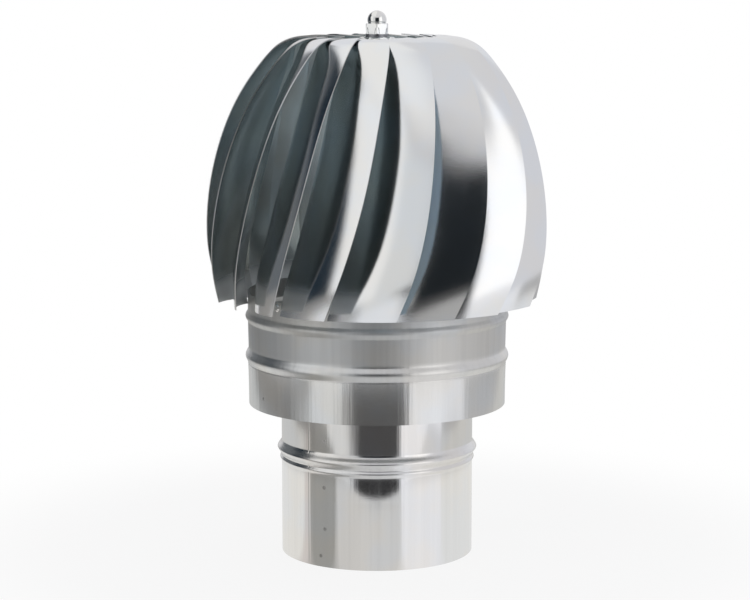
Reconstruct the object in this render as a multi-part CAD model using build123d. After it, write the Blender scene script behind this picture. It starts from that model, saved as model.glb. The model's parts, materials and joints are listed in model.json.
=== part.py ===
from build123d import *
import math
import os

# A chimney cowl with a head that the wind turns. A round spigot slides into the
# flue. Two bars across its bore carry a bearing housing, and an axle in two
# ball bearings carries the head: a skirt, a ring of twisted overlapping blades
# and the disc that their upper ends are bent over.
# Millimetres, +Z up. The origin is on the axis, at the spigot's lower edge.
# Angles run anticlockwise seen from above and are degrees.

# Sheet
tube_wall = 0.6
blade_sheet = 0.7

# Spigot, which goes into a 150 mm flue
spigot_radius = 75.0
spigot_height = 176.0
insertion_depth = 64.0
spigot_bead_height = 15.0
spigot_bead_proud = 3.2
spigot_ridge_height = 6.0
spigot_ridge_proud = 1.4
spigot_bead_spacing = 1.5
spigot_seam_angle = 226.0
skirt_seam_angle = -33.0
lap_width = 20.0
bead_fillet = 1.2

# Skirt, the lower ring of the turning head
skirt_radius = 100.5
skirt_bottom = 118.0
skirt_length = 88.0
skirt_bead_rise = 38.0
skirt_bead_height = 12.0
skirt_bead_proud = 2.3
skirt_rim_rise = 69.0
skirt_rim_height = 9.0
skirt_rim_proud = 1.9

# Blades
blade_count = 17
blade_foot_rise = 7.0
blade_foot_radius = 126.0
blade_widest_radius = 133.0
blade_inner_rise = 78.0
blade_top_rise = 285.6
blade_end_radius = 47.0
blade_sweep = 28.0
blade_foot_lean = -15.2
blade_first_angle = -90.0
blade_seat = 0.1
flap_lift = 2.1
blade_fit_tolerance = 0.02

# Top disc and the hub below it
disc_margin = 3.0
disc_thickness = 1.0
hub_flange_radius = 22.0
hub_flange_thickness = 3.0
hub_boss_radius = 10.0
hub_boss_length = 14.0

# Axle and its threaded parts, all for a 10 mm thread
axle_radius = 5.0
axle_chamfer = 0.8
axle_end_stub = 3.0
nut_flats = 17.0
nut_turn = 30.0
nut_height = 8.0
thin_nut_height = 5.0
nut_chamfer_height = 0.8
nut_chamfer_depth = 1.3
thread_gap = 0.05
washer_radius = 10.0
washer_thickness = 2.0
spring_washer_radius = 9.0
spring_washer_thickness = 2.2
spring_washer_cut = 2.0
spring_washer_slant = 20.0
cap_dome_radius = 7.5
cap_height = 18.0
cap_wall = 2.5
cap_clearance = 2.0

# Ball bearings, bore 10, outside 26, width 8
bearing_outer_radius = 13.0
bearing_width = 8.0
inner_ring_radius = 7.3
outer_ring_inside = 11.2
seal_inside = 7.4
seal_thickness = 0.6
seal_recess = 0.3
seal_grip = 0.1
ball_radius = 2.38
ball_count = 7
race_gap = 0.12

# Bearing housing and the two bars that carry it
housing_radius = 16.0
housing_length = 52.0
housing_overhang = 4.0
housing_shoulder = 2.5
bearing_inset = 3.0
bearing_fit_gap = 0.02
bridge_width = 40.0
bridge_sheet = 2.0
bridge_tab = 14.0
bridge_rivet_spread = 26.0
lower_bridge_height = 120.0
upper_bridge_height = 158.0
retaining_ring_thickness = 1.2
retaining_ring_depth = 2.6
retaining_groove_depth = 0.7
retaining_gap_angle = 50.0
shim_radius = 7.0
shim_thickness = 1.5

# Spider that ties the skirt to the axle
spider_width = 25.0
spider_sheet = 2.0
spider_tab = 9.6
spider_rim_gap = 0.4

# How far a hole's cutter reaches past the piece
cut_margin = 1.0

# Rivets
rivet_radius = 2.0
rivet_head_radius = 3.6
rivet_head_height = 1.4
hub_rivet_count = 4
hub_rivet_circle = 15.5
hub_rivet_first_angle = 45.0

# Worked-out heights, and the radius of the disc, which carries the flaps' ends
skirt_top = skirt_bottom + skirt_length
spider_height = skirt_top - spider_rim_gap - spider_tab
blade_inner_foot = skirt_bottom + blade_inner_rise
blade_outer_foot = blade_inner_foot + blade_foot_rise
flap_top = skirt_bottom + blade_top_rise
disc_radius = blade_end_radius + disc_margin
disc_top = flap_top - flap_lift - blade_sheet - blade_seat
disc_bottom = disc_top - disc_thickness
housing_bottom = lower_bridge_height - housing_overhang
housing_top = housing_bottom + housing_length
lower_bearing_bottom = housing_bottom + bearing_inset
upper_bearing_bottom = housing_top - bearing_inset - bearing_width
cap_bottom = disc_top + washer_thickness + spring_washer_thickness
axle_top = cap_bottom + cap_height - cap_wall - cap_clearance
axle_bottom = lower_bearing_bottom - shim_thickness - nut_height - axle_end_stub

# Worked-out angles: the spider's ends keep clear of the blades' feet
blade_pitch = 360 / blade_count
first_foot_angle = blade_first_angle + blade_foot_lean - blade_sweep
spider_angle = first_foot_angle + 8.25 * blade_pitch


def ring(outer, inner, bottom, top):
    """A plain ring about the axis."""
    height = top - bottom
    body = Cylinder(outer, height, align=(Align.CENTER, Align.CENTER, Align.MIN))
    hole = Cylinder(inner, height, align=(Align.CENTER, Align.CENTER, Align.MIN))
    return Pos(0, 0, bottom) * (body - hole)


def wall_line(radius, bottom, top, beads):
    """The outside of a rolled tube, with each bead as (height of its middle, its height, how proud)."""
    points = [(radius, bottom)]
    for middle, height, proud in beads:
        points += [
            (radius, middle - height / 2),
            (radius + proud, middle - height / 4),
            (radius + proud, middle + height / 4),
            (radius, middle + height / 2),
        ]
    points.append((radius, top))
    return FilletPolyline(*[(x, 0, z) for x, z in points], radius=bead_fillet)


def wall_face(radius, bottom, top, beads, wall):
    """The section of that tube's wall, on the XZ plane."""
    outside = wall_line(radius, bottom, top, beads)
    inside = Pos(-wall, 0, 0) * outside
    ends = [
        Line((radius - wall, 0, height), (radius, 0, height)) for height in (bottom, top)
    ]
    return Face(Wire(outside.edges() + inside.edges() + ends))


def rolled_tube(radius, bottom, top, beads, wall, seam_angle, lap):
    """A tube rolled from sheet. At the seam one end steps inwards and lies behind the other."""
    lap_angle = math.degrees(lap / radius)
    body = revolve(wall_face(radius, bottom, top, beads, wall), Axis.Z, 360)
    strip = revolve(wall_face(radius - wall, bottom, top, beads, wall), Axis.Z, lap_angle)
    return body + Rot(0, 0, seam_angle) * strip


def spigot_tube():
    """The fixed tube. The big bead stops it at the flue's rim and the ridge seats in the rim."""
    ridge_middle = insertion_depth + spigot_ridge_height / 2
    bead_middle = insertion_depth + spigot_ridge_height + spigot_bead_spacing + spigot_bead_height / 2
    beads = [
        (ridge_middle, spigot_ridge_height, spigot_ridge_proud),
        (bead_middle, spigot_bead_height, spigot_bead_proud),
    ]
    tube = rolled_tube(
        spigot_radius, 0, spigot_height, beads, tube_wall, spigot_seam_angle, lap_width
    )
    return tube - bridge_rivet_holes()


def skirt_collar():
    """The head's lower ring, with a stiffening bead and a rim bead under the blades."""
    beads = [
        (skirt_bottom + skirt_bead_rise, skirt_bead_height, skirt_bead_proud),
        (skirt_bottom + skirt_rim_rise, skirt_rim_height, skirt_rim_proud),
    ]
    tube = rolled_tube(
        skirt_radius, skirt_bottom, skirt_top, beads, tube_wall, skirt_seam_angle, lap_width
    )
    return tube - spider_rivet_holes()


# Stations of a blade's free edge from its foot to its upper end. The first number
# is the share of the way up, the second the share of the way out to the widest
# radius, counted from the end of the bent-over flap.
foot_share = (blade_foot_radius - blade_end_radius) / (blade_widest_radius - blade_end_radius)
free_edge_stations = [
    (0.000, foot_share),
    (0.125, 0.983),
    (0.270, 1.000),
    (0.440, 0.955),
    (0.615, 0.846),
    (0.775, 0.683),
    (0.900, 0.492),
    (0.967, 0.345),
    (0.996, 0.175),
    (1.000, 0.000),
]
# How far the blade's inner edge lies below and inside its free edge, as shares
# of the drop and the recess at the foot.
inner_edge_stations = [
    (1.00, 1.00),
    (0.85, 1.10),
    (0.55, 1.30),
    (0.40, 1.46),
    (0.30, 1.44),
    (0.25, 1.20),
    (0.20, 0.86),
    (0.30, 0.46),
    (0.27, 0.11),
    (0.27, 0.00),
]
# Where each row of points lies across a blade, from its free edge to its inner edge.
shares_across = (0.0, 0.25, 0.5, 0.75, 1.0)


def lean(share):
    """How far round the free edge stands, in degrees, at a share of the way up the blade."""
    return blade_foot_lean * (1 - 2.63 * share + 2.91 * share**2 - 1.79 * share**3)


def blade_grid():
    """Rows of points over a blade's outer face, each row from the free edge to the inner edge."""
    rise = flap_top - blade_outer_foot
    reach = blade_widest_radius - blade_end_radius
    foot_recess = blade_foot_radius - skirt_radius - blade_sheet - blade_seat
    rows = []
    for (up, out), (drop, recess) in zip(free_edge_stations, inner_edge_stations):
        free_radius = blade_end_radius + reach * out
        free_height = blade_outer_foot + rise * up
        inner_radius = free_radius - foot_recess * recess
        inner_height = free_height - blade_foot_rise * drop
        row = []
        for across in shares_across:
            radius = free_radius + (inner_radius - free_radius) * across
            height = free_height + (inner_height - free_height) * across
            angle = math.radians(lean(up) - blade_sweep * across)
            row.append((radius * math.cos(angle), radius * math.sin(angle), height))
        rows.append(row)
    return rows


def blade():
    """One pressed blade: a curved, twisted sheet, thickened inwards from its outer face."""
    outer_face = Face.make_surface_from_array_of_points(blade_grid(), tol=blade_fit_tolerance, max_deg=5)
    return Solid.thicken(outer_face, blade_sheet, normal_override=(-1, 0, 0))


def axle_hole(bottom, top):
    return Pos(0, 0, bottom) * Cylinder(
        axle_radius + thread_gap, top - bottom, align=(Align.CENTER, Align.CENTER, Align.MIN)
    )


def top_disc():
    """The round plate that the blades' upper ends lie on."""
    plate = ring(disc_radius, axle_radius + thread_gap, disc_bottom, disc_top)
    for x, y in hub_rivet_places():
        plate -= Pos(x, y, disc_bottom) * Cylinder(rivet_radius, 2 * (disc_thickness + cut_margin))
    return plate


def hub_flange():
    """The turned hub under the disc, which the axle's end passes through."""
    flange_bottom = disc_bottom - hub_flange_thickness
    flange = ring(hub_flange_radius, axle_radius + thread_gap, flange_bottom, disc_bottom)
    boss = ring(
        hub_boss_radius, axle_radius + thread_gap, flange_bottom - hub_boss_length, flange_bottom
    )
    body = flange + boss
    for x, y in hub_rivet_places():
        body -= Pos(x, y, flange_bottom) * Cylinder(
            rivet_radius, 2 * (hub_flange_thickness + cut_margin)
        )
    return body


def hub_rivet_places():
    places = []
    for index in range(hub_rivet_count):
        angle = math.radians(hub_rivet_first_angle + index * 360 / hub_rivet_count)
        places.append((hub_rivet_circle * math.cos(angle), hub_rivet_circle * math.sin(angle)))
    return places


def rivet(grip):
    """A rivet along +Z through a stack that starts at height 0, with a head at each end."""
    shank = Cylinder(rivet_radius, grip, align=(Align.CENTER, Align.CENTER, Align.MIN))
    head = Cone(
        rivet_head_radius,
        rivet_radius,
        rivet_head_height,
        align=(Align.CENTER, Align.CENTER, Align.MIN),
    )
    return shank + Pos(0, 0, grip) * head + Rot(180, 0, 0) * head


def hub_rivets():
    bottom = disc_bottom - hub_flange_thickness
    one = rivet(hub_flange_thickness + disc_thickness)
    return Compound(children=[Pos(x, y, bottom) * one for x, y in hub_rivet_places()])


def axle():
    """The steel rod that the head hangs on. Both ends are threaded and chamfered."""
    rod = Pos(0, 0, axle_bottom) * Cylinder(
        axle_radius, axle_top - axle_bottom, align=(Align.CENTER, Align.CENTER, Align.MIN)
    )
    return chamfer(rod.edges().filter_by(GeomType.CIRCLE), axle_chamfer)


def hexagon(height):
    """A hexagon prism on height 0 with its upper corners taken off."""
    outline = RegularPolygon(nut_flats / 2, 6, major_radius=False, rotation=nut_turn)
    prism = extrude(outline, height)
    corner = nut_flats / math.sqrt(3)
    turned = Cylinder(corner, height, align=(Align.CENTER, Align.CENTER, Align.MIN))
    turned = chamfer(turned.edges().sort_by(Axis.Z)[-1], nut_chamfer_height, nut_chamfer_depth)
    return prism & turned


def hex_nut(bottom, height):
    hole = axle_hole(bottom - cut_margin, bottom + height + cut_margin)
    return Pos(0, 0, bottom) * hexagon(height) - hole


def acorn_nut():
    """The domed nut that closes the axle's upper end."""
    dome_centre = cap_height - cap_dome_radius
    side = Polyline(
        (0, 0, nut_height), (cap_dome_radius, 0, nut_height), (cap_dome_radius, 0, dome_centre)
    )
    arc = Pos(0, 0, dome_centre) * Rot(90, 0, 0) * CenterArc((0, 0, 0), cap_dome_radius, 0, 90)
    axis_line = Line((0, 0, cap_height), (0, 0, nut_height))
    dome = revolve(Face(Wire(side.edges() + arc.edges() + [axis_line])), Axis.Z, 360)
    body = Pos(0, 0, cap_bottom) * (hexagon(nut_height) + dome)
    return body - axle_hole(cap_bottom - cut_margin, axle_top + cut_margin)


def flat_washer():
    return ring(washer_radius, axle_radius + thread_gap, disc_top, disc_top + washer_thickness)


def spring_washer():
    """The split lock washer under the domed nut."""
    bottom = disc_top + washer_thickness
    body = ring(
        spring_washer_radius, axle_radius + thread_gap, bottom, bottom + spring_washer_thickness
    )
    cut_height = 2 * (spring_washer_thickness + cut_margin)
    cut = Box(spring_washer_radius * 2, spring_washer_cut, cut_height)
    return body - Pos(spring_washer_radius, 0, bottom) * Rot(spring_washer_slant, 0, 0) * cut


def race_section(x_from, x_to, bottom, ball_circle):
    """A ring's section with its ball groove taken out."""
    section = Pos((x_from + x_to) / 2, 0, bottom + bearing_width / 2) * Rot(90, 0, 0) * (
        Rectangle(x_to - x_from, bearing_width)
    )
    groove = Pos(ball_circle, 0, bottom + bearing_width / 2) * Rot(90, 0, 0) * Circle(
        ball_radius + race_gap
    )
    return section - groove


def ball_circle_radius():
    return (inner_ring_radius + outer_ring_inside) / 2


def bearing_outer(bottom):
    """The outer ring with its two pressed-in seals."""
    section = race_section(
        outer_ring_inside, bearing_outer_radius - bearing_fit_gap, bottom, ball_circle_radius()
    )
    body = revolve(section, Axis.Z, 360)
    for seal_bottom in (bottom + seal_recess, bottom + bearing_width - seal_recess - seal_thickness):
        body += ring(outer_ring_inside + seal_grip, seal_inside, seal_bottom, seal_bottom + seal_thickness)
    return body


def bearing_inner(bottom):
    """The inner ring, which turns with the axle."""
    section = race_section(
        axle_radius + bearing_fit_gap, inner_ring_radius, bottom, ball_circle_radius()
    )
    return revolve(section, Axis.Z, 360)


def bearing_balls(bottom):
    balls = []
    for index in range(ball_count):
        place = Rot(0, 0, index * 360 / ball_count) * Pos(
            ball_circle_radius(), 0, bottom + bearing_width / 2
        )
        balls.append(place * Sphere(ball_radius))
    return Compound(children=balls)


def bearing_housing():
    """The turned tube between the bars, with a seat and a ring groove at each end."""
    seat = bearing_outer_radius
    body = ring(housing_radius, seat - housing_shoulder, housing_bottom, housing_top)
    lower_seat_top = lower_bearing_bottom + bearing_width
    seats = [(housing_bottom, lower_seat_top), (upper_bearing_bottom, housing_top)]
    for seat_bottom, seat_top in seats:
        body -= Pos(0, 0, seat_bottom) * Cylinder(
            seat, seat_top - seat_bottom, align=(Align.CENTER, Align.CENTER, Align.MIN)
        )
    for ring_bottom in retaining_ring_bottoms():
        body -= ring(
            seat + retaining_groove_depth,
            seat - housing_shoulder,
            ring_bottom,
            ring_bottom + retaining_ring_thickness,
        )
    return body


def retaining_ring_bottoms():
    """Where the rings lie: just below the lower bearing and just above the upper one."""
    return (
        lower_bearing_bottom - retaining_ring_thickness,
        upper_bearing_bottom + bearing_width,
    )


def retaining_ring(bottom):
    """A sprung ring with a gap, in the groove of the housing."""
    outer = bearing_outer_radius + retaining_groove_depth - bearing_fit_gap
    body = ring(outer, outer - retaining_ring_depth, bottom, bottom + retaining_ring_thickness)
    half = math.radians(retaining_gap_angle / 2)
    reach = 2 * outer
    gap = extrude(
        Polygon(
            (0, 0),
            (reach * math.cos(half), reach * math.sin(half)),
            (reach * math.cos(half), -reach * math.sin(half)),
            align=None,
        ),
        retaining_ring_thickness + cut_margin,
        both=True,
    )
    return body - Pos(0, 0, bottom) * gap


def bridge(height, turn):
    """A flat bar across the spigot with its ends bent up and rolled to the tube."""
    inside = spigot_radius - tube_wall
    bottom_cylinder = Cylinder(
        inside, bridge_sheet, align=(Align.CENTER, Align.CENTER, Align.MIN)
    )
    plate = bottom_cylinder & Box(
        3 * inside, bridge_width, bridge_sheet, align=(Align.CENTER, Align.CENTER, Align.MIN)
    )
    tabs = ring(inside, inside - bridge_sheet, 0, bridge_tab) & Box(
        3 * inside, bridge_width, bridge_tab, align=(Align.CENTER, Align.CENTER, Align.MIN)
    )
    body = plate + tabs - Cylinder(housing_radius, 2 * (bridge_sheet + cut_margin))
    return Pos(0, 0, height) * Rot(0, 0, turn) * body - bridge_rivet_holes()


def bridge_rivet_frames():
    """The places of the rivets that hold both bars, each frame's Z pointing outwards."""
    frames = []
    half_spread = math.degrees(bridge_rivet_spread / 2 / spigot_radius)
    tab_middle = (bridge_sheet + bridge_tab) / 2
    for height, turn in ((lower_bridge_height, 0), (upper_bridge_height, 90)):
        for side in (0, 180):
            for spread in (-half_spread, half_spread):
                frames.append(Pos(0, 0, height + tab_middle) * Rot(0, 0, turn + side + spread))
    return frames


def radial_rivet(outside, grip):
    """A rivet along +X through a rolled wall. Its inner head sits flat against the hollow side."""
    inside = outside - grip
    inner_seat = math.sqrt(inside**2 - rivet_head_radius**2)
    return Pos(inner_seat, 0, 0) * Rot(0, 90, 0) * rivet(outside - inner_seat)


def radial_hole(outside, grip):
    reach = grip + 2 * rivet_head_height + cut_margin
    return Pos(outside + rivet_head_height - reach, 0, 0) * Rot(0, 90, 0) * Cylinder(
        rivet_radius, reach, align=(Align.CENTER, Align.CENTER, Align.MIN)
    )


def bridge_rivet_holes():
    hole = radial_hole(spigot_radius, tube_wall + bridge_sheet)
    return [frame * hole for frame in bridge_rivet_frames()]


def bridge_rivets():
    one = radial_rivet(spigot_radius, tube_wall + bridge_sheet)
    return Compound(children=[frame * one for frame in bridge_rivet_frames()])


def spider_bar():
    """The bar that ties the skirt to the axle, its ends bent up against the skirt."""
    inside = skirt_radius - tube_wall
    plate = Cylinder(
        inside, spider_sheet, align=(Align.CENTER, Align.CENTER, Align.MIN)
    ) & Box(3 * inside, spider_width, spider_sheet, align=(Align.CENTER, Align.CENTER, Align.MIN))
    tabs = ring(inside, inside - spider_sheet, 0, spider_tab) & Box(
        3 * inside, spider_width, spider_tab, align=(Align.CENTER, Align.CENTER, Align.MIN)
    )
    body = Pos(0, 0, spider_height) * Rot(0, 0, spider_angle) * (plate + tabs)
    hole = axle_hole(spider_height - cut_margin, spider_height + spider_sheet + cut_margin)
    return body - hole - spider_rivet_holes()


def spider_rivet_frames():
    tab_middle = (spider_sheet + spider_tab) / 2
    return [
        Pos(0, 0, spider_height + tab_middle) * Rot(0, 0, spider_angle + side) for side in (0, 180)
    ]


def spider_rivet_holes():
    hole = radial_hole(skirt_radius, tube_wall + spider_sheet)
    return [frame * hole for frame in spider_rivet_frames()]


def spider_rivets():
    one = radial_rivet(skirt_radius, tube_wall + spider_sheet)
    return Compound(children=[frame * one for frame in spider_rivet_frames()])


def bearing_spacer():
    """The sleeve on the axle that keeps the two inner rings apart."""
    return ring(
        shim_radius,
        axle_radius + thread_gap,
        lower_bearing_bottom + bearing_width,
        upper_bearing_bottom,
    )


def all_parts():
    upper_ring_top = upper_bearing_bottom + bearing_width
    lower_shim_bottom = lower_bearing_bottom - shim_thickness
    lower_ring_bottom, upper_ring_bottom = retaining_ring_bottoms()
    shim_hole = axle_radius + thread_gap
    parts = {
        "spigot_tube": spigot_tube(),
        "lower_bridge": bridge(lower_bridge_height, 0),
        "upper_bridge": bridge(upper_bridge_height, 90),
        "bridge_rivets": bridge_rivets(),
        "bearing_housing": bearing_housing(),
        "lower_bearing_outer": bearing_outer(lower_bearing_bottom),
        "upper_bearing_outer": bearing_outer(upper_bearing_bottom),
        "lower_bearing_balls": bearing_balls(lower_bearing_bottom),
        "upper_bearing_balls": bearing_balls(upper_bearing_bottom),
        "lower_retaining_ring": retaining_ring(lower_ring_bottom),
        "upper_retaining_ring": retaining_ring(upper_ring_bottom),
        "lower_bearing_inner": bearing_inner(lower_bearing_bottom),
        "upper_bearing_inner": bearing_inner(upper_bearing_bottom),
        "bearing_spacer": bearing_spacer(),
        "axle": axle(),
        "lower_shim": ring(shim_radius, shim_hole, lower_shim_bottom, lower_bearing_bottom),
        "upper_shim": ring(shim_radius, shim_hole, upper_ring_top, upper_ring_top + shim_thickness),
        "lower_axle_nut": hex_nut(lower_shim_bottom - nut_height, nut_height),
        "upper_stop_nut": hex_nut(upper_ring_top + shim_thickness, nut_height),
        "spider_lower_nut": hex_nut(spider_height - thin_nut_height, thin_nut_height),
        "spider_upper_nut": hex_nut(spider_height + spider_sheet, nut_height),
        "spider_bar": spider_bar(),
        "spider_rivets": spider_rivets(),
        "skirt_collar": skirt_collar(),
        "top_disc": top_disc(),
        "hub_flange": hub_flange(),
        "hub_rivets": hub_rivets(),
        "flat_washer": flat_washer(),
        "spring_washer": spring_washer(),
        "acorn_nut": acorn_nut(),
    }
    one_blade = blade()
    for index in range(blade_count):
        turn = blade_first_angle + index * 360 / blade_count
        parts[f"blade_{index + 1:02d}"] = Rot(0, 0, turn) * one_blade
    return parts


def main():
    os.makedirs("parts", exist_ok=True)
    for name, shape in all_parts().items():
        export_step(shape, f"parts/{name}.step")
        print(name, round(shape.volume), "mm3")


main()
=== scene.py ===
# %% [markdown]
# # A chimney cowl whose bladed head turns in the wind
#
# The cowl is bright rolled sheet from top to bottom: a spigot that slides into
# the flue, a skirt above it, seventeen twisted blades and a domed nut. Sheet
# like this is nearly a mirror, so two things make it look right: surfaces that
# are smooth enough to mirror a room, and a room worth mirroring. The packed
# model gives every size, and the pieces below are worked out from it.

import json
import math

import bpy
import numpy as np
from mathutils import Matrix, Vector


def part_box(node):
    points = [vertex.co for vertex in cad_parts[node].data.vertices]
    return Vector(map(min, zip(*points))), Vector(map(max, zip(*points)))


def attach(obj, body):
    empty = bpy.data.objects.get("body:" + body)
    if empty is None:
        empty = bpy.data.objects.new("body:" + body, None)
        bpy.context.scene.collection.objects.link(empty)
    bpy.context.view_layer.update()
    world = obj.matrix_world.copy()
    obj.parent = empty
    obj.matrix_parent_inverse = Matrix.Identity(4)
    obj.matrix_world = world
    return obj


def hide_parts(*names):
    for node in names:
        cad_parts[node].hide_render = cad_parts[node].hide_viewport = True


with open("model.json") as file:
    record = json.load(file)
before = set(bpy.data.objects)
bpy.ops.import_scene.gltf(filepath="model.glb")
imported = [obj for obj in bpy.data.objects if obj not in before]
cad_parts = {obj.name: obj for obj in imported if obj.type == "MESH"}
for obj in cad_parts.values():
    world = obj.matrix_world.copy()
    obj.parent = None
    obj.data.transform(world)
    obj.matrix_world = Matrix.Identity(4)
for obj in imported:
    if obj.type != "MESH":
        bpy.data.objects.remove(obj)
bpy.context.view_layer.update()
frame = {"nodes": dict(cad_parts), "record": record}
MM = 0.001
nodes = frame["nodes"]

# %% [markdown]
# ## The camera
#
# The photograph was taken from a little under two metres, slightly above the
# head and tipped down towards the middle. Its ellipses fix the height and the
# tilt, and the width of the spigot fixes the distance.

# %% Camera
FOCAL_PIXELS = 2337.3
PICTURE_WIDTH = 750
SENSOR = 36.0
CAMERA_PLACE = (-1.55 * MM, -1808.7 * MM, 466.1 * MM)
CAMERA_TILT = 8.434

camera_data = bpy.data.cameras.new("camera")
camera_data.sensor_width = SENSOR
camera_data.lens = FOCAL_PIXELS / PICTURE_WIDTH * SENSOR
camera = bpy.data.objects.new("camera", camera_data)
camera.location = CAMERA_PLACE
camera.rotation_euler = (math.radians(90 - CAMERA_TILT), 0, 0)
bpy.context.scene.collection.objects.link(camera)
bpy.context.scene.camera = camera
bpy.context.scene.view_settings.view_transform = "Standard"
print("lens:", round(camera_data.lens, 1), "mm")

# %% [markdown]
# ## Sums as shader nodes
#
# A finish is a sum of a few patterns. Written as Python expressions the sums
# stay readable, so one small class wraps a node's output: adding or multiplying
# two of them adds the Math node that does it.

# %% A socket that can be used in sums
class Value:
    """A number that varies over a surface. Each operator adds one Math node."""

    def __init__(self, shader, output):
        self.shader = shader
        self.output = output

    def maths(self, operation, *operands):
        return self.shader.add(
            "ShaderNodeMath", {"operation": operation}, dict(enumerate(operands))
        )

    def __add__(self, other):
        return self.maths("ADD", self, other)

    def __sub__(self, other):
        return self.maths("SUBTRACT", self, other)

    def __rsub__(self, other):
        return self.maths("SUBTRACT", other, self)

    def __mul__(self, other):
        return self.maths("MULTIPLY", self, other)

    def __truediv__(self, other):
        return self.maths("DIVIDE", self, other)

    def __neg__(self):
        return self.maths("MULTIPLY", self, -1.0)

    def clamp(self):
        return self.maths("MINIMUM", self.maths("MAXIMUM", self, 0.0), 1.0)

    __radd__ = __add__
    __rmul__ = __mul__


# %% A shader that is written node by node
class Shader:
    """A node tree. One method adds any node, its settings first and its sockets after."""

    def __init__(self, owner):
        owner.use_nodes = True
        self.tree = owner.node_tree
        self.tree.nodes.clear()

    def add(self, kind, settings=None, inputs=None, output=0):
        node = self.tree.nodes.new(kind)
        for name, setting in (settings or {}).items():
            if name == "stops":
                self.set_stops(node.color_ramp, setting)
            else:
                setattr(node, name, setting)
        for socket, given in (inputs or {}).items():
            if isinstance(given, Value):
                self.tree.links.new(given.output, node.inputs[socket])
            else:
                node.inputs[socket].default_value = given
        return Value(self, node.outputs[output]) if len(node.outputs) else node

    def set_stops(self, ramp, stops):
        """Gives a ramp its stops, each a position from 0 to 1 and a colour."""
        while len(ramp.elements) > 1:
            ramp.elements.remove(ramp.elements[0])
        for index, (position, colour) in enumerate(stops):
            stop = ramp.elements[0] if index == 0 else ramp.elements.new(position)
            stop.position = position
            stop.color = (*colour, 1)

    def step(self, value, low, high, start=0.0, end=1.0):
        """A smooth change from start to end while value goes from low to high."""
        return self.add(
            "ShaderNodeMapRange",
            {"interpolation_type": "SMOOTHSTEP"},
            {"Value": value, "From Min": low, "From Max": high, "To Min": start, "To Max": end},
        )

    def within(self, value, rise, fall):
        """1 between two soft edges: it rises over the first pair of numbers and falls over the second."""
        return self.step(value, *rise) * self.step(value, *fall, 1, 0)

    def blend(self, mask, first, second):
        """The first colour where mask is 0 and the second where it is 1."""
        return self.add(
            "ShaderNodeMix", {"data_type": "RGBA"}, {0: mask, 6: first, 7: second}, output=2
        )


# %% [markdown]
# ## The room that the metal mirrors
#
# Bright sheet has hardly a colour of its own: what it shows is the studio. In
# the photograph that is a dark opening round the camera, a pale soft box to the
# left of it, a white one to the right, a dark blue wall further left, a light
# ceiling and a pale table, grey below the camera. All of them are far away, so
# the world's colour by direction can hold them, and the camera itself sees
# plain white. Every part is a zone of angles with soft edges, because an edge in
# the room is what shows as a line on the metal.

# %% Colours round the horizon
DARK_OPENING = (0.012, 0.015, 0.018)
DARK_WALL = (0.012, 0.021, 0.032)
FAR_WALL = (0.13, 0.14, 0.15)
LEFT_BOX = (0.67, 0.68, 0.69)
LEFT_BOX_END = (0.84, 0.84, 0.84)
RIGHT_BOX = (1.1, 1.1, 1.12)
RIGHT_WALL = (0.66, 0.66, 0.69)
BACK_WALL = (0.75, 0.75, 0.77)
CEILING = (0.68, 0.68, 0.70)
CEILING_LEFT = (0.84, 0.84, 0.84)
CEILING_EDGE = (0.52, 0.52, 0.54)
TABLE = (0.78, 0.78, 0.79)
SHADED_TABLE = (0.40, 0.40, 0.405)
LOW_LEFT = (0.27, 0.265, 0.26)
LOW_RIGHT = (0.42, 0.42, 0.43)
LOW_HALF = (0.30, 0.30, 0.31)
LOW_DARK = (0.073, 0.072, 0.075)
LOW_RIGHT_BOX = (0.84, 0.84, 0.87)
SOFT_EDGE = 2.0
WHITE = (1, 1, 1, 1)
BLACK = (0, 0, 0, 1)

# Each zone as (where it starts, its colour). Degrees: 0 is towards the camera, plus is to the right.
HORIZON = [
    (-180, BACK_WALL),
    (-150, FAR_WALL),
    (-112, DARK_WALL),
    (-79, LEFT_BOX_END),
    (-50, LEFT_BOX),
    (-22, DARK_OPENING),
    (27, RIGHT_BOX),
    (66, RIGHT_WALL),
    (136, BACK_WALL),
]
# The same low down, where the opening is wider and the walls beyond the boxes are in shade.
LOW_HORIZON = [
    (-180, LOW_LEFT),
    (-68, LEFT_BOX),
    (-37, LOW_HALF),
    (-31, LOW_DARK),
    (27, LOW_RIGHT_BOX),
    (85, LOW_RIGHT),
]


def zone_stops(zones):
    """The zones as stops of a ramp, each with a soft edge where the next one starts."""
    stops = []
    for index, (start, colour) in enumerate(zones):
        end = zones[index + 1][0] if index + 1 < len(zones) else 180
        first = start if index == 0 else start + SOFT_EDGE
        last = end if index + 1 == len(zones) else end - SOFT_EDGE
        stops += [((first + 180) / 360, colour), ((last + 180) / 360, colour)]
    return stops


print("stops round the horizon:", len(zone_stops(HORIZON)), "and", len(zone_stops(LOW_HORIZON)))

# %% The directions of the world
world = bpy.data.worlds.new("studio")
bpy.context.scene.world = world
room = Shader(world)
direction = room.add("ShaderNodeTexCoord").output.node.outputs["Generated"]
parts = room.add("ShaderNodeSeparateXYZ", None, {0: Value(room, direction)}).output.node.outputs
right, away, up = (Value(room, part) for part in parts)
azimuth = right.maths("ARCTAN2", right, -away) * (180 / math.pi)
height = up.maths("ARCSINE", up) * (180 / math.pi)
print("a direction is an azimuth and a height, both in degrees")

# %% [markdown]
# The blades mirror the walls at heights above the horizon, and both tubes
# mirror them just below it. So the walls have two sets of zones, one above the
# other, and two of them don't stand upright: the dark wall leans away from the
# camera as it rises, and the low opening's left edge moves right as it falls.

# %% Walls
# Pairs of degrees say where a soft change starts and where it ends.
LEAN = 14
LEAN_SIDES = ((-140, -110), (-70, -50))
LEAN_HEIGHTS = (-2, 34)
SLANT = 8
SLANT_HEIGHTS = (-12.5, -11.2)
SLANT_SIDE = (-14, -2)
LOW_WALLS_END = (-10.6, -9.4)

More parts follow.
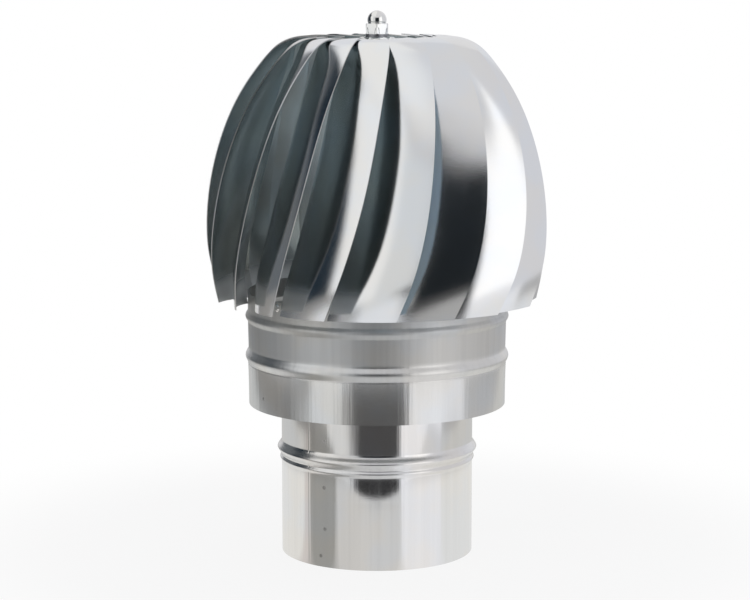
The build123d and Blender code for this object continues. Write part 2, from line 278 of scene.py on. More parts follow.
leaning = room.within(azimuth, *LEAN_SIDES) * room.step(height, *LEAN_HEIGHTS)
turn = (azimuth + leaning * LEAN + 180) / 360
walls = room.add("ShaderNodeValToRGB", {"stops": zone_stops(HORIZON)}, {0: turn})
slanting = room.step(height, *SLANT_HEIGHTS, 1, 0) * room.step(azimuth, *SLANT_SIDE, 1, 0)
low_turn = turn - slanting * (SLANT / 360)
low_walls = room.add("ShaderNodeValToRGB", {"stops": zone_stops(LOW_HORIZON)}, {0: low_turn})
all_walls = room.blend(room.step(height, *LOW_WALLS_END, 1, 0), walls, low_walls)
print("the low walls end at", LOW_WALLS_END, "degrees")

# %% Table
TABLE_EDGE = (-16.3, -13.4)
TABLE_SHADE_SIDES = ((-32, -20), (22, 30))
GAP_TOP = (-12.9, -12.5)
GAP_SHARE = 0.95
GAP_COLOUR = (0.01, 0.01, 0.01, 1)

shaded = room.within(azimuth, *TABLE_SHADE_SIDES)
table_colour = room.blend(shaded, (*TABLE, 1), (*SHADED_TABLE, 1))
# Between the low walls and the table's shaded part lies a gap that is nearly black.
gap = shaded * room.step(height, *GAP_TOP, 1, 0)
below = room.blend(gap * GAP_SHARE, all_walls, GAP_COLOUR)
below = room.blend(room.step(height, *TABLE_EDGE, 1, 0), below, table_colour)
print("the table starts at", TABLE_EDGE, "degrees")

# %% Ceiling
CEILING_START = 38
CEILING_SOFTNESS = 6
LOWER_BY = 12
LOWER_SIDES = ((-60, -40), (36, 74))
HIGHER_BY = 6
HIGHER_SIDE = (50, 72)
LEFT_COLOUR_END = (-40, 0)
EDGE_COLOUR_END = (24, 48)

lowered = room.within(azimuth, *LOWER_SIDES) * LOWER_BY
raised = room.step(azimuth, *HIGHER_SIDE) * HIGHER_BY
ceiling_start = raised - lowered + CEILING_START
ceiling_mask = room.step((height - ceiling_start) / CEILING_SOFTNESS, 0, 1)
main_colour = room.blend(room.step(azimuth, *LEFT_COLOUR_END), (*CEILING_LEFT, 1), (*CEILING, 1))
ceiling = room.blend(room.step(height, *EDGE_COLOUR_END), (*CEILING_EDGE, 1), main_colour)
colour = room.blend(ceiling_mask, below, ceiling)
print("the ceiling starts at", CEILING_START, "degrees")

# %% The world's output
rays = room.add("ShaderNodeLightPath").output.node.outputs
seen = room.blend(Value(room, rays["Is Camera Ray"]), colour, WHITE)
background = room.add("ShaderNodeBackground", None, {"Color": seen, "Strength": 1.0})
room.add("ShaderNodeOutputWorld", None, {"Surface": background})
print("nodes in the world:", len(room.tree.nodes))

# %% [markdown]
# ## The floor
#
# A plain pale floor catches a faint shadow and otherwise melts into the white
# behind it. What the metal mirrors of it is only the sheet of paper that the
# cowl stands on: it ends about 24 cm in front of the spigot, and beyond it the
# metal sees the room. The paper is warm grey on the far left, has a darker shade
# on its front left, is light grey in front and almost white on the right. These
# are painted light and shade, which the paper gives off only towards the metal.

# %% Floor
FLOOR_REACH = 3.0

floor_mesh = bpy.data.meshes.new("floor")
corners = [(-1, -1), (1, -1), (1, 1), (-1, 1)]
floor_mesh.from_pydata([(x * FLOOR_REACH, y * FLOOR_REACH, 0) for x, y in corners], [], [range(4)])
floor = bpy.data.objects.new("floor", floor_mesh)
bpy.context.scene.collection.objects.link(floor)
print("floor:", 2 * FLOOR_REACH, "m square")

# %% What the camera sees of the floor
FLOOR_COLOUR = (0.9, 0.9, 0.9, 1)
SHADOW_REACH = 0.45
SHADOW_SHARE = 0.15

floor_finish = bpy.data.materials.new("floor_white")
paper = Shader(floor_finish)
place = Value(paper, paper.add("ShaderNodeTexCoord").output.node.outputs["Object"])
distance = paper.add("ShaderNodeVectorMath", {"operation": "LENGTH"}, {0: place}, output="Value")
ray_kinds = paper.add("ShaderNodeLightPath").output.node.outputs
camera_ray, mirror_ray = (Value(paper, ray_kinds[kind]) for kind in ("Is Camera Ray", "Is Glossy Ray"))
matt = paper.add("ShaderNodeBsdfDiffuse", None, {"Color": FLOOR_COLOUR})
glow = paper.add("ShaderNodeEmission", None, {"Color": WHITE, "Strength": 1.0})
white = paper.step(distance, SHADOW_REACH / 2, SHADOW_REACH, 1 - SHADOW_SHARE, 1)
shown = paper.add("ShaderNodeMixShader", None, {0: camera_ray * white, 1: matt, 2: glow})
print("the shadow is mixed in up to", SHADOW_REACH, "m away")

# %% The light and shade painted on the paper
PAPER_START = (0.64, 0.61, 0.60)
# Each edge on the paper by the direction it is mirrored from, and the painted light to the right of it.
PAPER_ZONES = [
    (-87, (0.33, 0.33, 0.32)),
    (-50, (0.60, 0.60, 0.60)),
    (-24, (0.62, 0.62, 0.62)),
    (29, (0.84, 0.84, 0.86)),
    (84, (0.77, 0.77, 0.76)),
]
# The spigot's radius in metres, where the rays are mirrored.
MIRROR_RADIUS = 0.075
ZONE_SOFTNESS = 0.006
FAR_REACH = (0.33, 0.43)
FAR_SHADE = 0.25

spot = paper.add("ShaderNodeSeparateXYZ", None, {0: place}).output.node.outputs
across, away = (Value(paper, part) for part in spot[:2])
paper_light = (*PAPER_START, 1)
for direction_angle, zone_light in PAPER_ZONES:
    # The edge is the mirrored ray itself, so it shows as an upright line on the spigot.
    aim = math.radians(direction_angle)
    beyond = across * math.cos(aim) + away * math.sin(aim) + MIRROR_RADIUS * math.sin(aim / 2)
    mask = paper.step(beyond, -ZONE_SOFTNESS, ZONE_SOFTNESS)
    paper_light = paper.blend(mask, paper_light, (*zone_light, 1))
paper_light = paper.blend(paper.step(distance, *FAR_REACH) * FAR_SHADE, paper_light, BLACK)
print("edges on the paper:", len(PAPER_ZONES))

# %% The paper ends, and only mirrored rays see it
PAPER_FRONT = -0.312
FRONT_SOFTNESS = 0.01
PAPER_SIDE = 0.56
SIDE_SOFTNESS = 0.02

side = across.maths("ABSOLUTE", across)
before_front = paper.step(away, PAPER_FRONT - FRONT_SOFTNESS, PAPER_FRONT + FRONT_SOFTNESS)
before_side = paper.step(side, PAPER_SIDE - SIDE_SOFTNESS, PAPER_SIDE + SIDE_SOFTNESS, 1, 0)
mirrored = paper.add("ShaderNodeEmission", None, {"Color": paper_light, "Strength": 1.0})
clear = paper.add("ShaderNodeBsdfTransparent")
on_paper = before_front * before_side
in_mirror = paper.add("ShaderNodeMixShader", None, {0: on_paper, 1: clear, 2: mirrored})
shown = paper.add("ShaderNodeMixShader", None, {0: mirror_ray, 1: shown, 2: in_mirror})
paper.add("ShaderNodeOutputMaterial", None, {"Surface": shown})
floor_mesh.materials.append(floor_finish)
print("nodes in the floor:", len(paper.tree.nodes))

# %% [markdown]
# ## Surfaces from arrays
#
# Every new piece is a grid of points: rows along it, columns across it. A grid
# can close on itself in both directions, which gives a shell with no open edge.
# Sharp edges are marked by angle, so that a fold stays crisp in smooth shading.

# %% From a grid of points to a piece
SHARP = math.radians(38)


def grid_faces(rows, columns, close_rows, close_columns):
    """The corners of each square of a grid. Where it closes, the last row meets the first."""
    row = np.arange(rows if close_rows else rows - 1)[:, None]
    column = np.arange(columns if close_columns else columns - 1)[None, :]
    next_row = (row + 1) % rows
    next_column = (column + 1) % columns
    corners = [
        row * columns + column,
        row * columns + next_column,
        next_row * columns + next_column,
        next_row * columns + column,
    ]
    return np.stack([np.broadcast_to(c, (row.size, column.size)) for c in corners], -1).reshape(-1, 4)


def outward(points, faces):
    """The faces wound so that they enclose a positive volume, which makes them face outwards."""
    a, b, c, d = (points[faces[:, corner]] for corner in range(4))
    volume = np.sum(a * np.cross(b, c)) + np.sum(a * np.cross(c, d))
    return faces if volume > 0 else faces[:, ::-1]


def make_piece(name, points, faces, body, materials, stand_for=(), face_slots=None, across=None):
    """A piece from points in metres and faces of four corners, set on its body.

    face_slots chooses a material for each face. across is a number for each
    point, kept as an attribute, which a finish can read.
    """
    faces = outward(points, faces)
    mesh = bpy.data.meshes.new(name)
    mesh.vertices.add(len(points))
    mesh.vertices.foreach_set("co", np.asarray(points, np.float32).ravel())
    mesh.loops.add(faces.size)
    mesh.loops.foreach_set("vertex_index", faces.astype(np.int32).ravel())
    mesh.polygons.add(len(faces))
    mesh.polygons.foreach_set("loop_start", np.arange(len(faces), dtype=np.int32) * 4)
    if face_slots is not None:
        mesh.polygons.foreach_set("material_index", face_slots.astype(np.int32))
    mesh.update(calc_edges=True)
    mesh.validate()
    mesh.set_sharp_from_angle(angle=SHARP)
    for material in materials:
        mesh.materials.append(material)
    if across is not None:
        mesh.attributes.new("across", "FLOAT", "POINT").data.foreach_set("value", across.ravel())
    piece = bpy.data.objects.new(name, mesh)
    bpy.context.scene.collection.objects.link(piece)
    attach(piece, body)
    if stand_for:
        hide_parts(*stand_for)
    return piece


# %% A smooth line through a few stations
def through(stations, at):
    """The smoothest curve through the stations, read at some parameters.

    A cubic for each gap, joined so that slope and bend run on, with no bend at
    the two ends. The bends come from one set of linear equations: each bend and
    its neighbours balance the change of slope at that station.
    """
    knots, values = stations
    gap = np.diff(knots)
    slope = np.diff(values, axis=0) / gap[:, None]
    count = len(knots)
    system = np.eye(count)
    change = np.zeros_like(values)
    inner = np.arange(1, count - 1)
    system[inner, inner - 1] = gap[:-1]
    system[inner, inner] = 2 * (gap[:-1] + gap[1:])
    system[inner, inner + 1] = gap[1:]
    change[inner] = 6 * np.diff(slope, axis=0)
    bend = np.linalg.solve(system, change)
    index = np.clip(np.searchsorted(knots, at) - 1, 0, count - 2)
    h = gap[index][:, None]
    a = (knots[index + 1] - at)[:, None] / h
    b = 1 - a
    return (
        a * values[index]
        + b * values[index + 1]
        + ((a**3 - a) * bend[index] + (b**3 - b) * bend[index + 1]) * h**2 / 6
    )


# %% [markdown]
# ## Bright zinc-coated sheet
#
# Up close the sheet is not a perfect mirror. Rolling left a fine grain that
# softens the edge of every reflection, forming left long faint streaks, and the
# coating wanders a little between warm and cool. Grain, streaks and wide, slow
# waves are bump, and slower patterns move the roughness and the colour.

# %% Sizes and colours of the sheet's patterns
SLOW_SCALE = 22.0
GRAIN_SCALE = 1500.0
WAVE_SCALE = 16.0
PATTERN_SHARE = 0.05
WARM = (1.0, 0.985, 0.955)
COOL = (0.97, 0.985, 1.0)
WARM_TO_COOL = (0.38, 0.62)
STREAK_SHADE = (0.35, 0.70)
# Millimetres up: the waves grow from 1 to this many times their height towards the head's top.
CRUMPLED_FROM, CRUMPLED_TO = 340, 395
CRUMPLED_TIMES = 5
BAND_SOFTNESS = 2
print("the grain is about", round(1 / GRAIN_SCALE / MM, 2), "mm wide")


# %% Weld marks
WELD_INSIDE, WELD_OUTSIDE = 0.9, 1.9
WELD_COLOUR = (0.20, 0.19, 0.18, 1)
WELD_TINT = 0.55
WELD_DULLER = 0.2


def weld_spots(shader, place, marks):
    """1 inside any of the small round weld marks, fading at their edges."""
    total = 0.0
    for mark in marks:
        away = shader.add(
            "ShaderNodeVectorMath", {"operation": "DISTANCE"}, {0: place, 1: mark}, output="Value"
        )
        total = shader.step(away, WELD_INSIDE * MM, WELD_OUTSIDE * MM, 1, 0) + total
    return total.clamp()


print("a weld mark is", 2 * WELD_OUTSIDE, "mm wide")

# %% [markdown]
# The inner faces of the blades are duller than the outer ones, and their darker,
# bluer colour is painted shade, as inside the head. In the photograph they pale
# towards the foot, and a few have a light band along the free edge. Both are
# painted light, and the sheet is less metallic in both places.

# %% Sheet finish
# The pale foot and the light band along the free edge on the blades' insides are painted light.
FOOT_PAINTED_LIGHT = (0.95, 0.96, 0.97, 1)
FOOT_LIGHT_SHARE = 0.7
FOOT_MATT = 0.6
LIP_ACROSS = (0.12, 0.36)
LIP_MATT = 0.75
LIP_DULLER = 0.15


def sheet_finish(
    name, colour, rough, grain, streaks, streak_stretch,
    drawn=0.0, waves=0.0, marks=(), bands=(), lip=None, foot=None,
):
    """Coated sheet: its relief is grain + streaks + waves, each noise times its height in mm.

    Streaks are noise that is stretched along one direction, and drawn is how far
    they darken the sheet. A band is (lowest and highest height in mm, how much
    duller, how much darker). foot is the pair of heights in mm over which a pale
    foot of painted light ends, and lip the colour of the painted light band along the free edge.
    """
    material = bpy.data.materials.new(name)
    shader = Shader(material)
    place = Value(shader, shader.add("ShaderNodeTexCoord").output.node.outputs["Object"])
    level = shader.add("ShaderNodeSeparateXYZ", None, {0: place}, output=2)
    stretched = shader.add(
        "ShaderNodeMapping", {"vector_type": "POINT"}, {"Vector": place, "Scale": streak_stretch}
    )
    slow, fine, lines, wide = (
        shader.add("ShaderNodeTexNoise", None, {"Vector": vector, "Scale": scale, "Detail": detail})
        for vector, scale, detail in [
            (place, SLOW_SCALE, 3.0),
            (place, GRAIN_SCALE, 2.0),
            (stretched, 1.0, 4.0),
            (place, WAVE_SCALE, 1.0),
        ]
    )
    warm, cool = ([c * w for c, w in zip(colour, shift)] for shift in (WARM, COOL))
    tint = shader.blend(shader.step(slow, *WARM_TO_COOL), (*warm, 1), (*cool, 1))
    tint = shader.blend(shader.step(lines, *STREAK_SHADE) * drawn, tint, BLACK)
    # The patterns vary round 0.5, so taking off half of each keeps the middle at rough.
    roughness = (slow + lines + fine) * PATTERN_SHARE + (rough - 1.5 * PATTERN_SHARE)
    crumple = shader.step(level, CRUMPLED_FROM * MM, CRUMPLED_TO * MM, 1, CRUMPLED_TIMES)
    relief = fine * grain + lines * streaks + wide * crumple * waves
    bump = shader.add("ShaderNodeBump", None, {"Height": relief, "Distance": MM, "Strength": 1.0})
    # On the skirt, a band's darkening above the lower bead is painted shade under the blades.
    for low, high, duller, darker in bands:
        edges = (((end - BAND_SOFTNESS) * MM, (end + BAND_SOFTNESS) * MM) for end in (low, high))
        inside = shader.within(level, *edges)
        roughness = roughness + inside * duller
        tint = shader.blend(inside * darker, tint, BLACK)
    if marks:
        spot = weld_spots(shader, place, marks)
        tint = shader.blend(spot * WELD_TINT, tint, WELD_COLOUR)
        roughness = roughness + spot * WELD_DULLER
    metallic = 1.0
    # The pale foot is painted light: the colour turns paler and the sheet less metallic towards the foot.
    if foot:
        painted_light_foot = shader.step(level, foot[0] * MM, foot[1] * MM, 1, 0)
        tint = shader.blend(painted_light_foot * FOOT_LIGHT_SHARE, tint, FOOT_PAINTED_LIGHT)
        metallic = metallic - painted_light_foot * FOOT_MATT
    # The band along the free edge is painted light: a pale colour, less metal and duller.
    if lip:
        across = shader.add("ShaderNodeAttribute", {"attribute_name": "across"}, output="Fac")
        painted_light_edge = shader.step(across, *LIP_ACROSS, 1, 0)
        tint = shader.blend(painted_light_edge, tint, lip)
        metallic = metallic * (1 - painted_light_edge * LIP_MATT)
        roughness = roughness + painted_light_edge * LIP_DULLER
    surface = shader.add(
        "ShaderNodeBsdfPrincipled",
        None,
        {"Base Color": tint, "Metallic": metallic, "Roughness": roughness, "Normal": bump},
    )
    shader.add("ShaderNodeOutputMaterial", None, {"Surface": surface})
    return material


# %% The blades' finishes
ALONG_BLADE = (60, 60, 9)
ALL_WAYS = (60, 60, 60)
# The inside colour is darker and bluer than the outer sheet: painted shade inside the head.
INSIDE_PAINTED_SHADE = (0.50, 0.57, 0.60)
INSIDE = {"rough": 0.25, "grain": 0.004, "streaks": 0.01, "streak_stretch": ALONG_BLADE, "foot": (209, 227)}
# Colours of the painted light band along the free edge.
BLUE_LIP_LIGHT = (0.72, 0.88, 1.0, 1)

blade_finish = sheet_finish("blade_sheet", (0.92, 0.93, 0.94), 0.13, 0.026, 0.02, ALONG_BLADE, waves=0.35)
cut_finish = sheet_finish("cut_edge", (0.55, 0.55, 0.55), 0.35, 0.01, 0.0, ALL_WAYS)
inner_shaded_finish = sheet_finish("blade_inside_painted_shade", INSIDE_PAINTED_SHADE, **INSIDE)
blue_lip_light_finish = sheet_finish("blade_inside_blue", INSIDE_PAINTED_SHADE, lip=BLUE_LIP_LIGHT, **INSIDE)
white_lip_light_finish = sheet_finish("blade_inside_white", INSIDE_PAINTED_SHADE, lip=WHITE, **INSIDE)
# The insides of these blades, by index, have the band of painted light.
BANDED = {1: blue_lip_light_finish, 2: white_lip_light_finish, 3: white_lip_light_finish}
print("sheet finishes:", blade_finish.name, cut_finish.name, inner_shaded_finish.name)

# %% [markdown]
# ## The blades
#
# A blade is one strip of sheet. Its free edge swings out from the foot, climbs
# over the belly of the head and bends flat onto the top disc; its other edge
# runs inside the next blade. Between the two edges radius, height and angle
# change evenly, so a grid in cylindrical coordinates describes the sheet: a few
# stations along each edge, and a smooth curve through them.

# %% The edges of one blade
BLADES = 17
BLADE_WALL = 0.7
foot_z, flap_z = (corner.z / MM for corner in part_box("blade_01"))
WIDEST = 133.0
END_RADIUS = 47.0
FOOT_RECESS = 24.7
FOOT_RISE = 3.5
SWEEP = 28.0
FIRST_ANGLE = -90.0
# Degrees at the foot, and how the lean changes with the share of the way up: 1 + a s + b s^2 + c s^3.
FOOT_LEAN = -15.2
LEAN_CURVE = (-2.63, 2.91, -1.79)

# Shares of the way up and of the way out, from the foot to the end of the flap.
FREE_EDGE = np.array(
    [(0.000, 0.903), (0.140, 0.983), (0.283, 1.000), (0.450, 0.959), (0.622, 0.858)]
    + [(0.779, 0.700), (0.902, 0.507), (0.968, 0.352), (0.996, 0.175), (1.000, 0.000)]
)
# How far the inner edge lies below and inside the free edge, as shares of the foot's.
INNER_EDGE = np.array(
    [(1.00, 0.94), (1.25, 1.12), (1.00, 1.35), (0.80, 1.46), (0.60, 1.44)]
    + [(0.50, 1.20), (0.40, 0.86), (0.60, 0.46), (0.54, 0.11), (0.54, 0.00)]
)
# Fitting left some feet off their even places: degrees by the blade's index.
FOOT_SHIFT = {0: -3.0, 1: 0.5, 3: -2.0, 15: -1.4, 16: -2.4}
SHIFTED_SHARE = 0.55
SHIFT_FADE = 1.2
print("foot at", round(foot_z, 1), "mm, flap at", round(flap_z, 1), "mm")


# %% One blade as a sheet with two faces
def blade_face(along, across, foot_shift):
    """Points of the outer face, in millimetres, for shares along and across the blade.

    Radius and height run straight from the free edge to the inner edge, and the
    angle falls by the sweep. Along the blade both edges are smooth curves. The
    foot's own shift fades to nothing over SHIFTED_SHARE of the height.
    """
    reach = WIDEST - END_RADIUS
    outer_foot = foot_z + FOOT_RISE
    rise = flap_z - outer_foot
    free = np.stack([END_RADIUS + reach * FREE_EDGE[:, 1], outer_foot + rise * FREE_EDGE[:, 0]], -1)
    inner = free - np.stack([FOOT_RECESS * INNER_EDGE[:, 1], FOOT_RISE * INNER_EDGE[:, 0]], -1)
    steps = np.hypot(*np.diff(free, axis=0).T)
    knots = np.concatenate([[0], np.cumsum(steps)]) / steps.sum()
    share = FREE_EDGE[:, 0]
    lean = FOOT_LEAN * (1 + sum(c * share ** (power + 1) for power, c in enumerate(LEAN_CURVE)))
    lean = lean + foot_shift * np.clip(1 - share / SHIFTED_SHARE, 0, 1) ** SHIFT_FADE
    stations = np.concatenate([free, inner, lean[:, None]], axis=1)
    flat = through((knots, stations), along.ravel()).reshape(*along.shape, 5)
    radius = flat[..., 0] + (flat[..., 2] - flat[..., 0]) * across
    level = flat[..., 1] + (flat[..., 3] - flat[..., 1]) * across
    angle = np.radians(flat[..., 4] - SWEEP * across)
    return np.stack([radius * np.cos(angle), radius * np.sin(angle), level], -1)


def facing(points):
    """The unit normal at each point of a grid: the cross product of its two directions."""
    normal = np.cross(np.gradient(points, axis=0), np.gradient(points, axis=1))
    return normal / np.linalg.norm(normal, axis=-1, keepdims=True)


LENGTHWISE = 110
CROSSWISE = 26
along, across = np.meshgrid(
    np.linspace(0, 1, LENGTHWISE), np.linspace(0, 1, CROSSWISE), indexing="ij"
)


def blade_points(foot_shift):
    """The loop of points round the sheet: across its outer face and back across its inner one."""
    outer = blade_face(along, across, foot_shift)
    normal = facing(outer)
    normal *= np.sign(np.sum(normal[0, 0] * outer[0, 0]))
    inner = outer - BLADE_WALL * normal
    return np.concatenate([outer, inner[:, ::-1]], axis=1).reshape(-1, 3)


print("points of a blade:", len(blade_points(0)))

# %% [markdown]
# The loop of points round the sheet closes along the two long edges. At the
# foot and at the flap's end, squares between the two faces close the sheet. Its
# cut edges are a plainer, rougher grey than its outer face.

# %% The faces of a blade and their finishes
OUTER, CUT, INNER = 0, 1, 2
loop = 2 * CROSSWISE
side_faces = grid_faces(LENGTHWISE, loop, False, True)
column = np.arange(CROSSWISE - 1)
foot_end = np.stack([column, loop - 1 - column, loop - 2 - column, column + 1], -1)
flap_end = foot_end[:, ::-1] + (LENGTHWISE - 1) * loop
blade_faces = np.concatenate([side_faces, foot_end, flap_end])
strip = side_faces[:, 0] % loop
side = np.where(strip < CROSSWISE - 1, OUTER, INNER)
side[(strip == CROSSWISE - 1) | (strip == loop - 1)] = CUT
face_side = np.concatenate([side, np.full(len(foot_end) * 2, CUT)])
across_loop = np.concatenate([across, across[:, ::-1]], axis=1).astype(np.float32)
print("faces of a blade:", len(blade_faces))

# %% Seventeen blades
for index in range(BLADES):
    turn = math.radians(FIRST_ANGLE + index * 360 / BLADES)
    about_axis = np.array(
        [[math.cos(turn), -math.sin(turn), 0], [math.sin(turn), math.cos(turn), 0], [0, 0, 1]]
    )
    make_piece(
        f"turbine_blade_{index + 1:02d}",
        blade_points(FOOT_SHIFT.get(index, 0)) @ about_axis.T * MM,
        blade_faces,
        "head",
        [blade_finish, cut_finish, BANDED.get(index, inner_shaded_finish)],
        [f"blade_{index + 1:02d}"],
        face_side,
        across_loop,
    )
print("blades:", BLADES)

# %% [markdown]
# ## The two rolled tubes
#
# The spigot and the skirt are rolled from flat sheet, with beads pressed into
# them and one lap seam each. Their outline is a line of radius against height:
# straight walls, round-backed beads and a slight flare here and there. Turned
# round the axis it gives the tube, and a narrow dip along one line is the seam.

# %% The outline of a tube
def bead(level, middle, height, proud, crest=2.0):
    """How far a bead stands proud: (1 - u^crest)^2, where u goes from its middle to its edge.

    A crest of 2 is round, and a smaller one is more pointed.
    """
    u = np.clip(np.abs(level - middle) / (height / 2), 0, 1)
    return proud * (1 - u**crest) ** 2


COARSE_STEP = 3.0
FINE_STEP = 0.45
LEAST_STEP = 0.12
BEAD_MARGIN = 0.6


def fine_levels(bottom, top, beads):
    """Heights up a tube: every COARSE_STEP, and every FINE_STEP on each bead."""
    levels = [np.arange(bottom, top, COARSE_STEP), [top]]
    for middle, height, *_ in beads:
        reach = height / 2 + BEAD_MARGIN
        levels.append(np.arange(middle - reach, middle + reach, FINE_STEP))
    levels = np.unique(np.round(np.clip(np.concatenate(levels), bottom, top), 3))
    return levels[np.concatenate([[True], np.diff(levels) > LEAST_STEP])]


print("rows of a 10 mm tube with no bead:", len(fine_levels(0, 10, [])))


# %% A tube turned round the axis
TUBE_WALL = 0.6
SEAM_DIP = 0.12
SEAM_HALF_WIDTH = 0.4
SEAM_ROWS = np.array([-1.4, -0.9, -0.6, -0.35, -0.15, 0, 0.15, 0.35, 0.6, 0.9, 1.4])
SEAM_FADES_BY = 1.2
ROUND = 240


def tube_points(levels, radius, wall, seam_angle):
    """A closed grid of a tube's wall in millimetres: up the outside and down the inside.

    Along the seam the wall dips by SEAM_DIP times exp(-(distance / half width)^2),
    fading to nothing where the wall stands SEAM_FADES_BY proud in a bead.
    """
    near = SEAM_ROWS / radius.mean()
    turn = np.concatenate([near, np.linspace(near[-1], 2 * math.pi + near[0], ROUND)[1:-1]])
    distance = (turn + math.pi) % (2 * math.pi) - math.pi
    dip = SEAM_DIP * np.exp(-((distance * radius.mean() / SEAM_HALF_WIDTH) ** 2))
    plain = np.clip(1 - (radius - radius.min()) / SEAM_FADES_BY, 0, 1)
    plain = np.concatenate([plain, plain[::-1]])
    angle = turn + math.radians(seam_angle)
    line = np.concatenate([radius, radius[::-1] - wall])
    height = np.concatenate([levels, levels[::-1]])
    reach = line[:, None] - plain[:, None] * dip[None, :]
    return np.stack([reach * np.cos(angle), reach * np.sin(angle), height[:, None] + 0 * reach], -1)


def turned_tube(name, node, body, outline, beads, seam_angle, finish):
    """A tube in place of a node, its outline a function from height to radius."""
    low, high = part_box(node)
    levels = fine_levels(low.z / MM, high.z / MM, beads)
    points = tube_points(levels, outline(levels), TUBE_WALL, seam_angle)
    faces = grid_faces(points.shape[0], points.shape[1], True, True)
    make_piece(name, points.reshape(-1, 3) * MM, faces, body, [finish], [node])
    print(name, "rows", len(levels), "faces", len(faces))


# %% Spigot
SPIGOT_RADIUS = 75.0
# Each bead as (middle, height, how proud it stands), and its crest where that isn't 2.
SPIGOT_BEADS = [(82.8, 12.6, 3.3, 1.55), (74.8, 5.4, 1.3)]
SPIGOT_SEAM = -134.0
# Where the spot welds are, in metres.
SPIGOT_WELDS = [
    (-0.0404, -0.0634, 0.0985),
    (-0.0406, -0.0632, 0.0622),
    (-0.0400, -0.0636, 0.0300),
    (-0.0432, -0.0615, 0.0085),
]
# The beads are duller than the wall, and the wall just below them is the clearest.
SPIGOT_BANDS = [(72, 89, 0.15, 0.05), (52, 70, -0.037, 0.0)]


def spigot_outline(level):
    """Radius against height: a straight wall plus its beads."""
    return SPIGOT_RADIUS + sum(bead(level, *one) for one in SPIGOT_BEADS)


spigot_finish = sheet_finish(
    "spigot_sheet", (0.93, 0.92, 0.91), 0.10, 0.006, 0.08, (260, 260, 4),
    drawn=0.03, marks=SPIGOT_WELDS, bands=SPIGOT_BANDS,
)
turned_tube(
    "rolled_spigot", "spigot_tube", "base", spigot_outline, SPIGOT_BEADS, SPIGOT_SEAM, spigot_finish
)

# %% Skirt
SKIRT_RADIUS = 100.5
SKIRT_BEADS = [(156.0, 12.0, 2.3), (187.0, 9.0, 1.9)]
SKIRT_SEAM = -33.0
SKIRT_WELDS = [(-0.0870, -0.0503, 0.1290)]
# The lower bead is duller and a little darker than the wall below it, and all above it is duller and darker
# still. The darkening above the lower bead is painted shade under the overhanging blades.
SKIRT_BANDS = [(150, 163, 0.16, 0.1), (163, 210, 0.32, 0.2)]
UPPER_FLARE, UPPER_FLARE_START, UPPER_FLARE_LENGTH = 0.45, 161, 22
LOWER_FLARE, LOWER_FLARE_START, LOWER_FLARE_LENGTH = 0.7, 150, 16
LOWER_FLARE_DROP = 0.2
BEAD_FLARE_LENGTH = 3


def skirt_outline(level):
    """The skirt's wall opens a little above and below its beads, as pressing them leaves it.

    Above, the flare grows evenly to its full size. Below, it shrinks from the bead
    down as exp(-distance / length), less LOWER_FLARE_DROP, so that the wall ends
    a little narrower. Inside the bead it fades faster.
    """
    upper = UPPER_FLARE * np.clip((level - UPPER_FLARE_START) / UPPER_FLARE_LENGTH, 0, 1)
    below = LOWER_FLARE * np.exp((level - LOWER_FLARE_START) / LOWER_FLARE_LENGTH) - LOWER_FLARE_DROP
    inside = (LOWER_FLARE - LOWER_FLARE_DROP) * np.exp((LOWER_FLARE_START - level) / BEAD_FLARE_LENGTH)
    lower = np.where(level < LOWER_FLARE_START, below, inside)
    return SKIRT_RADIUS + upper + lower + sum(bead(level, *one) for one in SKIRT_BEADS)


skirt_finish = sheet_finish(
    "skirt_sheet", (0.89, 0.89, 0.88), 0.165, 0.008, 0.15, (220, 220, 4),
    drawn=0.05, marks=SKIRT_WELDS, bands=SKIRT_BANDS,
)
turned_tube("rolled_skirt", "skirt_collar", "head", skirt_outline, SKIRT_BEADS, SKIRT_SEAM, skirt_finish)

# %% [markdown]
# ## The domed nut
#
# A hexagon with rounded upper corners carries a dome. Both are one outline of
# radius against height, turned round the axis, with the hexagon's flats cut
# into the lower part of it.

# %% Domed nut
NUT_FLATS = 17.0
NUT_HEIGHT = 8.0
DOME_RADIUS = 7.4
DOME_SINK = 0.3
DOME_FROM, DOME_TO, DOME_ROWS = -19, 86, 28
SEAT_RADII = (1.0, 6.0)
# The lower corners are taken off in one step, inwards and up, and the upper ones in three, inwards and down.
LOWER_CHAMFER = (0.9, 0.5)
UPPER_ROUND = [(0, 0.9), (0.5, 0.3), (1.3, 0)]
NUT_ROUND = 144


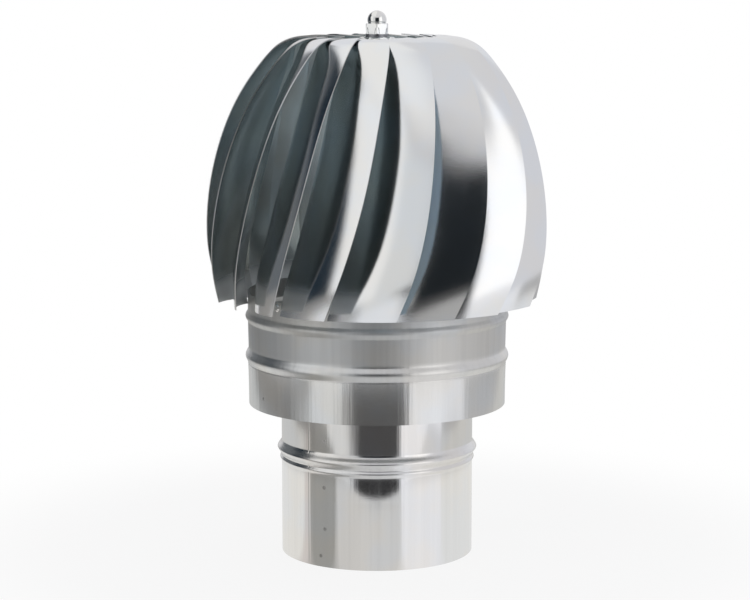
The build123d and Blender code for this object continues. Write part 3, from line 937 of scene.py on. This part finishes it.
def domed_nut(bottom, top):
    """Rows of a domed nut in millimetres, from its seat up to the crown.

    A row of the hexagon lies at the flats' distance over the cosine of the angle
    from the nearest flat, and never beyond the turned cone that takes the corners off.
    A row of the dome lies on a sphere: its radius times the cosine out, and the sine up.
    """
    turn = np.linspace(0, 2 * math.pi, NUT_ROUND, endpoint=False)
    from_flat = (turn + math.pi / 6) % (math.pi / 3) - math.pi / 6
    hexagon = NUT_FLATS / 2 / np.cos(from_flat)
    corner = NUT_FLATS / math.sqrt(3)
    centre = top - DOME_RADIUS
    shoulder = bottom + NUT_HEIGHT
    rows = [(radius, bottom, False) for radius in SEAT_RADII]
    rows += [(corner - LOWER_CHAMFER[0], bottom, True), (corner, bottom + LOWER_CHAMFER[1], True)]
    rows += [(corner - inwards, shoulder - down, True) for inwards, down in UPPER_ROUND]
    rows += [(DOME_RADIUS - DOME_SINK, shoulder, False)]
    for angle in np.radians(np.linspace(DOME_FROM, DOME_TO, DOME_ROWS)):
        rows.append((DOME_RADIUS * math.cos(angle), centre + DOME_RADIUS * math.sin(angle), False))
    points = []
    for radius, height, is_hexagon in rows:
        reach = np.minimum(hexagon, radius) if is_hexagon else np.full(NUT_ROUND, radius)
        row = [reach * np.cos(turn), reach * np.sin(turn), np.full(NUT_ROUND, height)]
        points.append(np.stack(row, -1))
    return np.array(points)


def closed_ends(rows, columns):
    """Faces of a grid that is closed round its columns, with flat strips over both ends."""
    column = np.arange(columns // 2 - 1)
    start = np.stack([column, columns - 1 - column, columns - 2 - column, column + 1], -1)
    end = start[:, ::-1] + (rows - 1) * columns
    return np.concatenate([grid_faces(rows, columns, False, True), start, end])


plated_finish = sheet_finish("plated", (0.93, 0.93, 0.92), 0.12, 0.002, 0.004, (90, 90, 90))
nut_low, nut_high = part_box("acorn_nut")
nut_points = domed_nut(nut_low.z / MM, nut_high.z / MM)
make_piece(
    "domed_nut",
    nut_points.reshape(-1, 3) * MM,
    closed_ends(*nut_points.shape[:2]),
    "head",
    [plated_finish],
    ["acorn_nut"],
)
print("domed nut from", round(nut_low.z / MM, 1), "to", round(nut_high.z / MM, 1))

# %% [markdown]
# ## Finishes for the pieces that stay as they are
#
# The bars, the turned parts, the bearings and the fasteners keep the packed
# model's shapes. Each kind of steel gets its own finish.

# %% Finishes of the other pieces
# Each as name, colour, roughness, grain, streaks and the streaks' stretch.
OTHER_FINISHES = {
    "bar_steel": ("bar", (0.70, 0.71, 0.72), 0.30, 0.010, 0.020, (90, 90, 90)),
    "turned_steel": ("turned", (0.66, 0.66, 0.67), 0.28, 0.004, 0.020, (30, 30, 900)),
    "bearing_steel": ("bearing", (0.75, 0.75, 0.76), 0.15, 0.002, 0.004, (30, 30, 900)),
    "spring_steel": ("spring", (0.35, 0.35, 0.37), 0.35, 0.006, 0.010, (90, 90, 90)),
}
finish_of_slot = {slot: sheet_finish(*settings) for slot, settings in OTHER_FINISHES.items()}
finish_of_slot["blade_sheet"] = blade_finish
finish_of_slot["plated_fasteners"] = plated_finish
finish_of_slot["rolled_sheet"] = skirt_finish
for piece in frame["record"]["subparts"]:
    node = nodes[piece["node"]]
    for material_slot in node.material_slots:
        material_slot.material = finish_of_slot[piece["material_slot"]]
